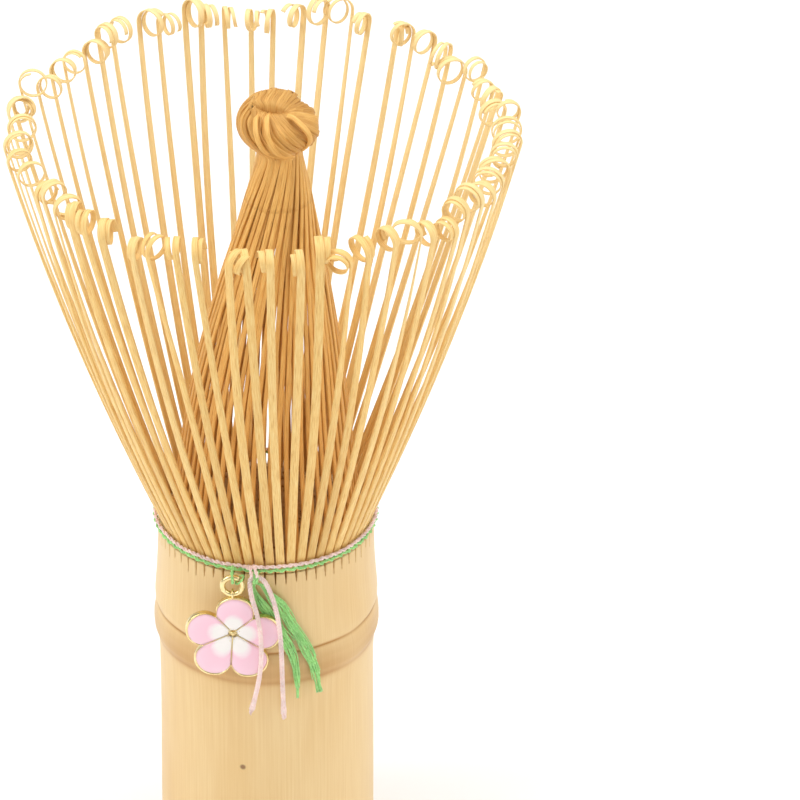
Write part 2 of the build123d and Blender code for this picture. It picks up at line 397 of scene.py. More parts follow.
def smooth_line(points, steps):
    """Catmull-Rom curve through points, with steps samples to each span."""
    points = np.asarray(points, float)
    padded = np.vstack((2 * points[0] - points[1], points, 2 * points[-1] - points[-2]))
    samples = []
    for i in range(1, len(padded) - 2):
        a, b, c, d = padded[i - 1:i + 3]
        for t in np.arange(steps) / steps:
            samples.append(0.5 * (
                2 * b + (c - a) * t + (2 * a - 5 * b + 4 * c - d) * t**2
                + (3 * b - a - 3 * c + d) * t**3
            ))
    samples.append(points[-1])
    return np.array(samples)


def tangents(line):
    """Unit direction of a line of points at each of them."""
    return unit(np.gradient(np.asarray(line, float), axis=0))


def lengths(line):
    """Length along a line of points up to each of them."""
    steps = np.linalg.norm(np.diff(line, axis=0), axis=1)
    return np.concatenate(((0,), np.cumsum(steps)))


def strip(shape, line, sides, widths, depths, tone, grain=None):
    """Flat strip along a line. sides point across its width, and its corners are chamfered."""
    line = np.asarray(line, float)
    along = tangents(line)
    sides = unit(sides - along * np.sum(sides * along, axis=1, keepdims=True))
    normals = np.cross(sides, along)
    steps = len(line)
    widths = np.broadcast_to(widths, steps) / 2
    depths = np.broadcast_to(depths, steps) / 2
    cut = np.minimum(widths, depths) * 0.3
    corners = []
    for x, y in ((-1, -1), (1, -1), (1, 1), (-1, 1)):
        flat = (x * (widths - cut), y * depths)
        steep = (x * widths, y * (depths - cut))
        corners += [flat, steep] if x * y < 0 else [steep, flat]
    corners = [corners[i] for i in (1, 2, 3, 4, 5, 6, 7, 0)]
    rings = np.stack([
        line + sides * u[:, None] + normals * v[:, None] for u, v in corners
    ], axis=1)
    wide = 2 * float(widths.mean())
    deep = 2 * float(depths.mean())
    start, level = grain or (rng.uniform(0, 400), rng.uniform(0, 400))
    across = np.cumsum((0, wide, deep / 4, deep, deep / 4, wide, deep / 4, deep, deep / 4)) + start
    tone = np.broadcast_to(tone, steps)[:, None]
    shape.rings(rings, across, lengths(line) + level, tone)


def steady_sides(line):
    """Directions across a line that don't twist about it, and the ones square to both."""
    along = tangents(line)
    side = np.cross(along[0], (0.31, 0.52, 0.79))
    sides = []
    for direction in along:
        side = unit(side - direction * np.dot(side, direction))
        sides.append(side)
    sides = np.array(sides)
    return sides, np.cross(along, sides)


def tube(shape, line, radius, tone=0.5, around=8):
    """Round tube along a line."""
    line = np.asarray(line, float)
    sides, ups = steady_sides(line)
    radius = np.broadcast_to(radius, len(line))
    turns = np.linspace(0, 2 * math.pi, around, endpoint=False)
    rings = np.stack([
        line + (sides * math.cos(t) + ups * math.sin(t)) * radius[:, None] for t in turns
    ], axis=1)
    across = np.arange(around + 1) * 2 * math.pi * float(radius.mean()) / around
    shape.rings(rings, across, lengths(line), tone)


def plies(line, offset, turn_length, count):
    """Lines of the plies of a twisted thread that follows a line."""
    line = np.asarray(line, float)
    sides, ups = steady_sides(line)
    turn = lengths(line) * 2 * math.pi / turn_length
    offset = np.broadcast_to(offset, len(line))[:, None]
    found = []
    for ply in range(count):
        angle = (turn + ply * 2 * math.pi / count)[:, None]
        found.append(line + (sides * np.cos(angle) + ups * np.sin(angle)) * offset)
    return found


# -------------------- materials

def node_material(name, roughness, **sockets):
    """Material with a Principled shader, its constant sockets set, and helpers to wire the rest."""
    material = bpy.data.materials.new(name)
    material.use_nodes = True
    tree = material.node_tree
    shader = tree.nodes["Principled BSDF"]
    shader.inputs["Roughness"].default_value = roughness
    for socket, value in sockets.items():
        shader.inputs[socket.replace("_", " ")].default_value = value
    return material, tree, shader


def add_node(tree, kind, links=None, **settings):
    """Add a node, set its properties and inputs, and link what feeds it."""
    node = tree.nodes.new(kind)
    for key, value in settings.items():
        if hasattr(node, key):
            setattr(node, key, value)
        else:
            node.inputs[key.replace("_", " ")].default_value = value
    for key, source in (links or {}).items():
        tree.links.new(source, node.inputs[key])
    return node


def ramp(tree, source, stops):
    """Colour ramp with (place, colour) stops."""
    node = add_node(tree, "ShaderNodeValToRGB", {"Fac": source})
    elements = node.color_ramp.elements
    while len(elements) < len(stops):
        elements.new(0.5)
    for element, (place, colour) in zip(elements, stops):
        element.position = place
        element.color = (*colour, 1)
    return node.outputs["Color"]


def mix(tree, factor, first, second, blend="MIX"):
    """Mix of two colours, each a socket or a colour. factor is a socket or a number."""
    node = tree.nodes.new("ShaderNodeMix")
    node.data_type = "RGBA"
    node.blend_type = blend
    for index, value in ((0, factor), (6, first), (7, second)):
        if isinstance(value, bpy.types.NodeSocket):
            tree.links.new(value, node.inputs[index])
        elif index == 0:
            node.inputs[index].default_value = value
        else:
            node.inputs[index].default_value = (*value, 1)
    return node.outputs[2]


def stretched_noise(tree, vector, scale, detail=4.0, roughness=0.6):
    """Noise on a stretched vector, as wood fibres are."""
    mapping = add_node(tree, "ShaderNodeMapping", {"Vector": vector}, Scale=scale)
    node = add_node(
        tree, "ShaderNodeTexNoise", {"Vector": mapping.outputs["Vector"]}, Scale=1.0, Detail=detail,
        Roughness=roughness,
    )
    return node.outputs["Fac"]


def grain_of(tree):
    """Place on the surface, across and along its grain."""
    return add_node(tree, "ShaderNodeUVMap", uv_map="grain").outputs["UV"]


def tone_of(tree):
    """Tone of the piece at this place, 0 to 1."""
    return add_node(tree, "ShaderNodeAttribute", attribute_name="tone").outputs["Fac"]


def place_of(tree):
    """Place in the object, in metres."""
    return add_node(tree, "ShaderNodeTexCoord").outputs["Object"]


def spread(tree, source, **ends):
    """A value moved from one range to another."""
    return add_node(tree, "ShaderNodeMapRange", {"Value": source}, **ends).outputs["Result"]


def bump(tree, shader, height, strength, distance):
    """Wire a bump from a height socket into the shader."""
    node = add_node(tree, "ShaderNodeBump", {"Height": height}, Strength=strength, Distance=distance)
    tree.links.new(node.outputs["Normal"], shader.inputs["Normal"])


def split_bamboo(name, dark, middle, light, shade):
    """Split bamboo: fibres along the strip, tones that differ from tine to tine, and painted light and
    shade carried by the same tone, with a pale wash where it is high.
    """
    material, tree, shader = node_material(name, 0.5, Specular_IOR_Level=0.35)
    grain = grain_of(tree)
    tone = tone_of(tree)
    fibre = stretched_noise(tree, grain, (9.0, 0.35, 1.0), 5.0)
    patch = stretched_noise(tree, grain, (0.9, 0.06, 1.0), 2.0)
    colour = ramp(tree, fibre, ((0.28, dark), (0.47, middle), (0.68, light)))
    colour = mix(tree, patch, colour, shade, "MULTIPLY")
    # The tone darkens or lightens the colour: partly random from tine to tine, partly painted light and
    # shade
    tone_and_painted_light = ramp(tree, tone, (
        (0.0, (0.62, 0.52, 0.40)), (0.5, (0.96, 0.93, 0.88)), (1.0, (1.0, 1.0, 1.0)),
    ))
    colour = mix(tree, 1.0, colour, tone_and_painted_light, "MULTIPLY")
    # Painted light: a pale wash where the tone is high, on the tips of the tines at the back
    painted_light_wash = spread(tree, tone, From_Min=0.6, To_Max=0.5)
    colour = mix(tree, painted_light_wash, colour, (0.98, 0.82, 0.46))
    tree.links.new(colour, shader.inputs["Base Color"])
    tree.links.new(spread(tree, fibre, To_Min=0.42, To_Max=0.66), shader.inputs["Roughness"])
    bump(tree, shader, fibre, 0.35, 0.00008)
    return material


def culm_skin():
    """Smooth skin of the culm: pale, with long fibres, faint stains, a dark fleck, the brown scar line,
    and painted shade in the slits and under the node ridge.
    """
    material, tree, shader = node_material("bamboo_skin", 0.38, Specular_IOR_Level=0.4)
    place = place_of(tree)
    grain = grain_of(tree)
    tone = tone_of(tree)
    fibre = stretched_noise(tree, grain, (3.6, 0.05, 1.0), 6.0, 0.65)
    cloud = stretched_noise(tree, place, (70.0, 70.0, 28.0), 3.0)
    speck = stretched_noise(tree, grain, (1.7, 0.9, 1.0), 2.0)
    colour = ramp(tree, fibre, (
        (0.2, (0.76, 0.52, 0.245)), (0.48, (0.81, 0.575, 0.28)), (0.78, (0.86, 0.645, 0.335)),
    ))
    stain = ramp(tree, cloud, ((0.3, (0.93, 0.86, 0.74)), (0.6, (1.0, 1.0, 1.0))))
    colour = mix(tree, 0.8, colour, stain, "MULTIPLY")
    spot = ramp(tree, speck, ((0.78, (1.0, 1.0, 1.0)), (0.83, (0.42, 0.24, 0.1))))
    colour = mix(tree, 0.7, colour, spot, "MULTIPLY")
    near = add_node(tree, "ShaderNodeVectorMath", {0: place}, operation="DISTANCE")
    near.inputs[1].default_value = [value * MM for value in SPECK]
    fleck = spread(tree, near.outputs["Value"], From_Min=0.00025, From_Max=0.0005)
    colour = mix(tree, fleck, (0.30, 0.16, 0.07), colour)
    # The tone darkens the skin: painted shade in the slits and under the node ridge, and the brown scar line
    tone_and_painted_light = ramp(tree, tone, (
        (0.0, (0.20, 0.10, 0.035)), (0.25, (0.62, 0.42, 0.20)), (0.5, (1.0, 1.0, 1.0)),
    ))
    colour = mix(tree, 1.0, colour, tone_and_painted_light, "MULTIPLY")
    tree.links.new(colour, shader.inputs["Base Color"])
    tree.links.new(spread(tree, fibre, To_Min=0.3, To_Max=0.5), shader.inputs["Roughness"])
    bump(tree, shader, fibre, 0.25, 0.0001)
    return material


def culm_cut():
    """Cut and inner faces of the culm: dull, fibrous, with the ends of the vascular bundles."""
    material, tree, shader = node_material("bamboo_cut", 0.75)
    place = place_of(tree)
    dots = add_node(tree, "ShaderNodeTexVoronoi", {"Vector": place}, Scale=1500.0)
    cloud = stretched_noise(tree, place, (300.0, 300.0, 60.0), 4.0)
    colour = ramp(tree, dots.outputs["Distance"], (
        (0.12, (0.42, 0.24, 0.09)), (0.3, (0.72, 0.50, 0.25)), (0.7, (0.82, 0.62, 0.36)),
    ))
    shade = ramp(tree, cloud, ((0.3, (0.80, 0.72, 0.60)), (0.7, (1.0, 1.0, 1.0))))
    tree.links.new(mix(tree, 1.0, colour, shade, "MULTIPLY"), shader.inputs["Base Color"])
    bump(tree, shader, dots.outputs["Distance"], 0.3, 0.00015)
    return material


def thread(name, dark, middle, light):
    """Soft twisted thread: fine fibres round the ply, a little fuzz and sheen."""
    material, tree, shader = node_material(
        name, 0.85, Sheen_Weight=0.35, Sheen_Roughness=0.4, Specular_IOR_Level=0.2
    )
    grain = grain_of(tree)
    place = place_of(tree)
    fibre = stretched_noise(tree, grain, (14.0, 2.5, 1.0), 4.0, 0.7)
    patch = stretched_noise(tree, place, (420.0, 420.0, 420.0), 2.0)
    colour = ramp(tree, fibre, ((0.3, dark), (0.5, middle), (0.72, light)))
    shade = ramp(tree, patch, ((0.35, (0.82, 0.82, 0.82)), (0.6, (1.0, 1.0, 1.0))))
    tree.links.new(mix(tree, 1.0, colour, shade, "MULTIPLY"), shader.inputs["Base Color"])
    bump(tree, shader, fibre, 0.6, 0.0001)
    return material


def gold():
    """Pale gold plate, polished, with fine wear."""
    material, tree, shader = node_material("gold_plate", 0.22, Metallic=1.0)
    place = place_of(tree)
    wear = stretched_noise(tree, place, (900.0, 900.0, 900.0), 4.0)
    colour = ramp(tree, wear, (
        (0.3, (0.80, 0.60, 0.26)), (0.6, (0.93, 0.78, 0.42)), (0.8, (0.98, 0.90, 0.62)),
    ))
    tree.links.new(colour, shader.inputs["Base Color"])
    tree.links.new(spread(tree, wear, To_Min=0.14, To_Max=0.36), shader.inputs["Roughness"])
    bump(tree, shader, wear, 0.15, 0.00003)
    return material


def enamel():
    """Glossy enamel, pink at the petal's tip and pearl at its heart."""
    material, tree, shader = node_material(
        "petal_enamel", 0.12, Coat_Weight=0.8, Coat_Roughness=0.05
    )
    tone = tone_of(tree)
    place = place_of(tree)
    cloud = stretched_noise(tree, place, (260.0, 260.0, 260.0), 3.0)
    drift = add_node(tree, "ShaderNodeMath", {0: cloud}, operation="MULTIPLY_ADD")
    drift.inputs[1].default_value = 0.22
    tree.links.new(tone, drift.inputs[2])
    colour = ramp(tree, drift.outputs[0], (
        (0.52, (0.92, 0.87, 0.83)), (0.61, (0.94, 0.76, 0.79)), (0.69, (0.95, 0.58, 0.68)),
        (1.0, (0.96, 0.62, 0.72)),
    ))
    tree.links.new(colour, shader.inputs["Base Color"])
    bump(tree, shader, cloud, 0.05, 0.0001)
    return material


skin = culm_skin()
cut = culm_cut()
outer_bamboo = split_bamboo(
    "bamboo_outer", (0.66, 0.36, 0.10), (0.90, 0.61, 0.225), (0.97, 0.77, 0.36), (0.96, 0.89, 0.76)
)
# Painted shade: the inner tines, and the knot they end in, use a darker, more orange copy of the split
# bamboo, for the shade inside the ring of outer tines
shaded_inner_bamboo = split_bamboo(
    "bamboo_inner", (0.52, 0.24, 0.05), (0.86, 0.51, 0.155), (0.95, 0.66, 0.255), (0.94, 0.86, 0.70)
)
THREADS = {
    "pink": thread("thread_pink", (0.90, 0.46, 0.42), (1.0, 0.78, 0.72), (1.0, 0.95, 0.91)),
    "green": thread("thread_green", (0.17, 0.50, 0.14), (0.42, 0.86, 0.28), (0.70, 1.0, 0.52)),
}
metal = gold()
glaze = enamel()


# -------------------- handle

def culm_radius(height):
    """Radius of the culm's wall at a height."""
    heights, radii = zip(*CULM_WALL)
    return float(np.interp(height, heights, radii))


def stave_columns():
    """Columns of the culm's mesh, as (angle, angle off the nearest slit, length of that slit)."""
    columns = []
    for stave in range(TINES):
        # A stave passes over one draw, which keeps the draws of everything after it in their order
        rng.random()
        depth = rng.uniform(0.72, 1.2) * SLIT_LENGTH
        for share in STAVE_COLUMNS:
            columns.append(((stave + share) * PITCH, min(share, 1 - share) * PITCH, depth))
    return columns


def wall_point(column, height):
    """Point of the culm's outer wall and its tone, with the uneven node and the slits.
    The tone carries painted shade in the slits and under the ridge, and the brown scar line.
    """
    angle, off_slit, depth = column
    radius = culm_radius(height)
    east, north = cosine(angle), sine(angle)
    near = bell(height, NODE_HEIGHT, NODE_REACH)
    wave = noise.noise((east * 2.1, north * 2.1, 3.0))
    here = radius + 0.06 * noise.noise((east * 1.3, north * 1.3, height / 14))
    here += near * 0.05 * noise.noise((east * 7, north * 7, height / 3))
    tone = 0.5
    below_rim = HANDLE_TOP - height
    if below_rim < depth:
        shallow = 1 - below_rim / depth
        width = SLIT_HALF_WIDTH * shallow + 0.01
        groove = max(0.0, 1 - math.radians(off_slit) * radius / max(width, SLIT_EDGE))
        here -= SLIT_CUT * groove * shallow**0.4
        # Painted shade: the groove of the slit is darkened
        tone -= 0.5 * groove
    # Painted shade under the node ridge, a faint darkening above it, and the brown scar line, all lower the
    # tone
    for centre, reach, strength, uneven in NODE_SCAR_AND_SHADE_BANDS:
        tone -= bell(height, centre, reach) * (strength + uneven * wave)
    return (here * east, here * north, height + near * wave * 0.55), tone


def make_handle():
    """Culm with an uneven node ridge, open slits under the thread, and its hollow inside."""
    columns = stave_columns()
    corners = {height for height, _ in CULM_WALL}
    heights = sorted(corners.union(*(np.linspace(*rows) for rows in CULM_ROWS)))
    wall = [[wall_point(column, height) for column in columns] for height in heights]
    cup, bore = (
        [[(polar(radius, column[0], height), 0.5) for column in columns] for height, radius in profile]
        for profile in (CULM_CUP, CULM_BORE)
    )
    across = np.radians([column[0] for column in columns] + [360]) * GRAIN_RADIUS
    shape = Shape()
    for rings, kind in ((wall, 0), ([wall[-1]] + cup, 1), (bore + [wall[0]], 1)):
        points, tones = ([[item[part] for item in ring] for ring in rings] for part in (0, 1))
        along = lengths(np.array([ring[0] for ring in points])) if kind else heights
        shape.rings(points, across, along, tones, kind, False)
    shape.piece("culm", [skin, cut], "root", "bamboo_culm", ["handle"], weld=True)


# -------------------- tines

def outer_line(angle):
    """Points up an outer tine, from its root out over the thread to the start of its curl."""
    opening = max(-0.7, min(0.5, rng.gauss(0, 0.35)))
    drift = rng.gauss(0, 0.4)
    bow = rng.gauss(0, 0.35)
    top = CURL_HEIGHT + rng.gauss(0, 0.8)
    heights = np.concatenate((
        np.linspace(ROOT_HEIGHT, BEND_HEIGHT, 3)[:-1],
        BEND_HEIGHT + (top - BEND_HEIGHT) * np.linspace(0, 1, OUTER_STEPS) ** 1.1,
    ))
    rise = np.maximum(0, heights - BEND_HEIGHT)
    reach = rise / (top - BEND_HEIGHT)
    radii = OUTER_ROOT_RADIUS + FLARE * rise - FLARE_EASE * rise**2 + opening * reach**1.6
    sideways = drift * reach**1.5 + bow * np.sin(math.pi * reach) - math.tan(math.radians(OUTER_LEAN)) * rise
    spine = radii[:, None] * polar(1, angle, 0) + sideways[:, None] * polar(1, angle + 90, 0)
    return spine + heights[:, None] * np.array((0, 0, 1.0))


def curl_line(line, angle, face_on):
    """Points of the curl at a tine's end, and the direction of its axis."""
    out = polar(1, angle, 0)
    flat_on = abs(cosine(angle))
    twist = FACE_ON_TWIST if face_on else rng.gauss(0, 26 - 14 * flat_on)
    radius = CURL_RADIUS * rng.uniform(0.84, 1.12) * (1 + 0.08 * flat_on)
    turn = rng.uniform(*CURL_TURN)
    along = unit(line[-1] - line[-2])
    normal = unit(out - along * np.dot(out, along))
    normal = normal * cosine(twist) + np.cross(along, normal) * sine(twist)
    lateral = np.cross(along, normal)
    helix = rng.choice((-1, 1)) * rng.uniform(0.5, 1.2) * (1 - 0.4 * flat_on)
    curl = []
    for bend in np.linspace(0, turn, CURL_STEPS)[1:]:
        turns = bend / 360
        size = radius * (1 - 0.1 * turns)
        curl.append(
            line[-1] + normal * (size * cosine(bend) - radius) + along * size * sine(bend)
            + lateral * helix * turns**1.5
        )
    return curl, lateral


def outer_tine(shape, angle, face_on):
    """One outer tine: up its root, out over the thread, and round its curl."""
    across = polar(1, angle + 90, 0)
    line = outer_line(angle)
    curl, lateral = curl_line(line, angle, face_on)
    whole = np.vstack((line, curl))
    share = lengths(whole) / lengths(line)[-1]
    turned = np.clip((share - 0.35) / 0.65, 0, 1)
    turned = (turned**2 * (3 - 2 * turned))[:, None]
    sides = across * (1 - turned) + (-lateral if np.dot(lateral, across) < 0 else lateral) * turned
    rise = np.clip(share, 0, 1)
    end = np.clip((share - 1) / (share[-1] - 1), 0, 1)
    front = max(0.0, -sine(angle)) ** 3
    tip = (TIP_WIDTH + FRONT_WIDENING * front) * rng.uniform(0.8, 1.25)
    widths = (ROOT_WIDTH + (tip - ROOT_WIDTH) * rise**0.8) * (1 - 0.25 * end)
    depths = ROOT_DEPTH + (TIP_DEPTH - ROOT_DEPTH) * rise - 0.05 * end
    # Painted light: toward the tips the tone follows where the tine faces, paler at the back and darker at
    # the front; near the root it differs at random
    pale = 0.2 + 0.8 * ((1 + sine(angle)) / 2) ** 0.6
    tone = rng.uniform(0.25, 0.7) * (1 - 0.6 * rise) + (0.22 + 0.8 * pale) * rise
    strip(shape, whole, sides, widths, depths, tone)


def gather(angle):
    """How far a strand moves away from the cracks near it."""
    shift = 0.0
    for crack, strength in CRACKS:
        off = (angle - crack + 180) % 360 - 180
        shift += strength * CRACK_SHIFT * math.copysign(math.exp(-abs(off) / CRACK_REACH), off)
    return shift


def bundle_points(angle, layer):
    """Points of an inner tine from its root up to the neck of the knot."""
    wander = rng.gauss(0, 0.6)
    lift = rng.gauss(0, 0.12)
    points = []
    for height, radius, lean, gathering, twist in STRAND:
        middle = math.sin(math.pi * (height - HANDLE_TOP) / (STRAND[-1][0] - HANDLE_TOP + 1))
        inset = layer * BUNDLE_LAYER * min(1, max(0, height - 84) / 16)
        toward = angle + wander * middle + gathering * gather(angle) + twist
        place = polar(radius - inset + lift * middle, toward, height)
        place[0] += lean
        points.append(place)
    return points


def bun_points(angle, layer):
    """Points of a strand from the neck over the bun and down into its crease."""
    points = []
    lobe_angles, fullnesses, rises = zip(*LOBES)
    start = angle + gather(angle) + STRAND[-1][4]
    loose = rng.gauss(0, 0.11)
    for height, radius, turn in BUN:
        toward = (start + turn * rng.uniform(0.97, 1.03)) % 360
        fullness, rise = (np.interp(toward, lobe_angles, values) for values in (fullnesses, rises))
        share = (height - BUN[0][0]) / (BUN[-1][0] - BUN[0][0])
        reach = radius * (1 + (fullness - 1) * min(1, 2 * share)) - layer * BUN_LAYER + loose
        place = polar(reach, toward, height + rise * share)
        place[0] += KNOT_CENTRE[0]
        points.append(place)
    right = (1 + cosine(toward)) / 2
    crease = np.array(CREASE_LEFT) * (1 - right) + np.array(CREASE_RIGHT) * right
    outward = polar(1, toward, 0)
    points.append(crease + outward * 1.2 + np.array((0, 0, 0.6 + rise * 0.6)))
    points.append(crease + outward * 0.35 + np.array((0, 0, rise * 0.3)))
    points.append(crease - np.array((0, 0, 1.6)))
    return points


def outward_sides(line):
    """Directions across strands that lie flat on the bundle and on the knot."""
    lean = np.interp(line[:, 2], [s[0] for s in STRAND], [s[2] for s in STRAND])
    flat = np.column_stack((line[:, 0] - lean, line[:, 1], np.zeros(len(line))))
    round_ = line - np.array(KNOT_CENTRE)
    ease = np.clip((line[:, 2] - 109) / 3.5, 0, 1)[:, None]
    outward = unit(flat) * (1 - ease) + unit(round_) * ease
    return np.cross(outward, tangents(line))


def inner_tine(inner, knot, angle, layer):
    """One inner tine, whose end runs on over the knot. The two meshes share its line and grain."""
    line = smooth_line(bundle_points(angle, layer) + bun_points(angle, layer), STRAND_STEPS)
    sides = outward_sides(line)
    tone = rng.uniform(0.3, 0.65)
    width = STRAND_WIDTH * rng.uniform(0.9, 1.12)
    grain = (rng.uniform(0, 400), rng.uniform(0, 400))
    rise = np.clip((line[:, 2] - 110) / 4, 0, 1)
    dive = np.clip((np.arange(len(line)) + 1 - len(line)) / DIVE_STEPS + 1, 0, 1)
    widths = width * (1 + 0.18 * rise) * (1 - 0.3 * dive)
    depths = STRAND_DEPTH + (STRAND_TOP_DEPTH - STRAND_DEPTH) * np.clip((line[:, 2] - HANDLE_TOP) / 50, 0, 1)
    # Painted shade: the strand darkens as it dives into the crease; over the bun it is darker by a random
    # share
    tones = tone * (1 - rng.uniform(0.3, 0.9) * rise) * (1 - 0.9 * dive)
    # The inner tine's own end is sunk into the strand that carries it on
    low, high = slice(0, STRAND_SPLIT + len(STRAND_SINKS)), slice(STRAND_SPLIT, None)
    sunk = np.ones(low.stop)
    sunk[STRAND_SPLIT:] = STRAND_SINKS
    strip(inner, line[low], sides[low], widths[low] * sunk, depths[low] * sunk, tones[low], grain)
    grain = (grain[0], grain[1] + lengths(line)[STRAND_SPLIT])
    strip(knot, line[high], sides[high], widths[high], depths[high], tones[high], grain)


def finish_knot(knot):
    """Strands that lie over the bun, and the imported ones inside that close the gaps."""
    for wrap in WRAPS:
        line = smooth_line(wrap, STRAND_STEPS)
        strip(knot, line, outward_sides(line), *WRAP_SIZE, rng.uniform(0.5, 0.6))
    core = [
        [polar(radius, angle, height) + (KNOT_CENTRE[0], 0, 0) for angle in range(0, 360, 10)]
        for height, radius in KNOT_CORE
    ]
    # Painted shade: the core gets a low tone, so it shows dark in the gaps between the strands
    knot.rings(core, np.arange(37) * 0.5, range(len(core)), 0.12)
    knot.piece("inner_knot_swirl", [shaded_inner_bamboo], "root", "bamboo_inner", ["inner_knot"])


def make_tines():
    """Outer and inner tines by section, and the knot that the inner tips are twisted into."""
    knot = Shape()
    for section in range(SECTIONS):
        number = f"{section + 1:02d}"
        outer, inner = Shape(), Shape()
        for tine in range(TINES_PER_SECTION):
            index = section * TINES_PER_SECTION + tine
            angle = (index + 0.5) * PITCH
            outer_tine(outer, angle, index == FACE_ON_TINE)
            inner_tine(inner, knot, angle, index % 2)
        outer.piece(f"outer_tines_{number}_bamboo", [outer_bamboo], f"outer_section_{number}",
                    "bamboo_outer", [f"outer_tines_{number}"])
        inner.piece(f"inner_tines_{number}_bamboo", [shaded_inner_bamboo], "root", "bamboo_inner",
                    [f"inner_tines_{number}"])
    finish_knot(knot)


# -------------------- threads and metal

def twisted(shape, line, diameter, turn_length, swell=1.0, count=2):
    """Thread of two or three plies along a line."""
    for ply in plies(line, diameter * PLY_OFFSET * swell, turn_length, count):
        tube(shape, ply, diameter * PLY_RADIUS * swell, around=7)


def binding_line(height, seed, lift):
    """Closed turn of thread that rises over each tine and sinks between them."""
    line = []
    per_tine = 9
    for step in range(TINES * per_tine + 1):
        angle = step * PITCH / per_tine
        wave = cosine(360 * (step / per_tine - 0.5))
        wobble = noise.noise((cosine(angle) * 3, sine(angle) * 3, seed))
        line.append(polar(BINDING_RADIUS + 0.1 * wave, angle, height + lift * wave + 0.16 * wobble))
    return np.array(line)


def make_binding():
    """The two turns of thread round the roots of the tines."""
    for colour, height, seed, lift in BINDING_TURNS:
        shape = Shape()
        twisted(shape, binding_line(height, seed, lift), *BINDING_THREAD)
        shape.piece(f"binding_{colour}", [THREADS[colour]], "root", f"thread_{colour}",
                    [f"binding_thread_{colour}"])


def make_knots():
    """Knot round the fold of the tails: two tight green turns, and strands of pink over them."""
    knot = Shape()
    for aside, size in KNOT_TURNS:
        middle = (HANG_X + aside, HANG_Y, HANG_Z)
        turn = oval(middle, (0, size, 0), (0.06, 0, size), np.linspace(0, 360, 40))
        twisted(knot, turn, *KNOT_THREAD)
    knot.piece("binding_knot_thread", [THREADS["green"]], "root", "thread_green", ["binding_knot"])

    strands = Shape()
    for strand in PINK_KNOT:
        twisted(strands, smooth_line(strand, 8), *PINK_KNOT_THREAD)
    strands.piece("binding_knot_pink", [THREADS["pink"]], "root", "thread_pink")


def make_charm_loop():
    """Loop that holds the ring, and a second one round the ring's wire at its upper right."""
    low, high = (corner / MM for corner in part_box("charm_loop"))
    size = (high.z - low.z) / 2 - LOOP_INSET
    angles = np.linspace(0, 360, 60)
    first = oval((low + high) / 2, (0, size, 0), (0, 0, size), angles)
    first[:, 0] += 0.05 * np.sin(2 * np.radians(angles))
    lean = np.array((math.sqrt(0.5), 0, math.sqrt(0.5)))
    second = oval(
        RING_CENTRE + Vector(lean * (RING_RADIUS + 0.05)), lean * SECOND_LOOP_RADIUS,
        (0, SECOND_LOOP_RADIUS, 0), angles,
    )
    shape = Shape()
    twisted(shape, first, *LOOP_THREAD)
    twisted(shape, second, *SECOND_LOOP_THREAD)
    shape.piece("charm_loop_thread", [THREADS["green"]], "root", "thread_green", ["charm_loop"])


def nurbs_line(route):
    """Points of the smooth line that a route controls, in millimetres."""
    curve = bpy.data.curves.new("route", "CURVE")
    curve.dimensions = "3D"
    curve.resolution_u = 24
    spline = curve.splines.new("NURBS")
    spline.points.add(len(route) - 1)
    for point, place in zip(spline.points, route):
        point.co = (*(value * MM for value in place), 1)
    spline.order_u = 3
    spline.use_endpoint_u = True
    holder = bpy.data.objects.new("route", curve)
    mesh = bpy.data.meshes.new_from_object(holder)
    line = np.array([vertex.co for vertex in mesh.vertices]) / MM
    bpy.data.objects.remove(holder)
    bpy.data.curves.remove(curve)
    bpy.data.meshes.remove(mesh)
    return line


def fray(shape, line):
    """Loose fibres that leave a thread's end, along its last stretch."""
    end, before = line[0], line[3]
    down = unit(end - before)
    for _ in range(FRAY_FIBRES):
        lean = np.array((rng.gauss(0, FRAY_LEAN), rng.gauss(0, FRAY_LEAN * 0.5), 0))
        start = end - down * rng.uniform(0.3, 1.3) + lean * 0.3
        stretch = rng.uniform(0.6, 1.0) * FRAY_LENGTH
        bend = np.array((rng.gauss(0, 0.12), rng.gauss(0, 0.08), 0))
        share = np.linspace(0, 1, 7)[:, None]
        fibre = start + (down * stretch + lean) * share + bend * np.sin(math.pi * share)
        tube(shape, fibre, PINK_DIAMETER * np.linspace(0.17, 0.08, 7), around=5)


def floss(shape, line, middle):
    """Untwisted thread that spreads to a flat bundle of fibres on each side of its middle."""
    along = lengths(line)
    away = np.abs(along - middle)
    opening = np.clip(away / 5, 0, 1)
    opening = 0.2 + 0.8 * opening**2 * (3 - 2 * opening)
    closing = 1 - np.where(along < middle, 0.7, 0.25) * np.clip((away - 11) / 9, 0, 1)
    radial = unit(line * np.array((1, 1, 0)))
    sideways = np.cross((0, 0, 1.0), radial)
    for fibre in range(FLOSS_FIBRES):
        place = -1 + 2 * (fibre + 0.5) / FLOSS_FIBRES
        seed = rng.uniform(0, 99)
        wander = np.array([noise.noise((s / 4.5, seed, 0.0)) for s in along])
        depth = np.array([noise.noise((s / 3.0, seed, 5.0)) for s in along])
        offset = (place * 0.8 + wander * 0.7) * FLOSS_HALF_WIDTH * opening * closing
        points = line + sideways * offset[:, None] + radial * (depth * 0.25)[:, None]
        short = max(0.0, abs(place) - 0.35)
        first = int(rng.uniform(0, 40) * short)
        last = len(line) - int(rng.uniform(0, 30) * short)
        tube(shape, points[first:last], rng.uniform(0.045, 0.085), rng.uniform(0.2, 0.9), around=5)


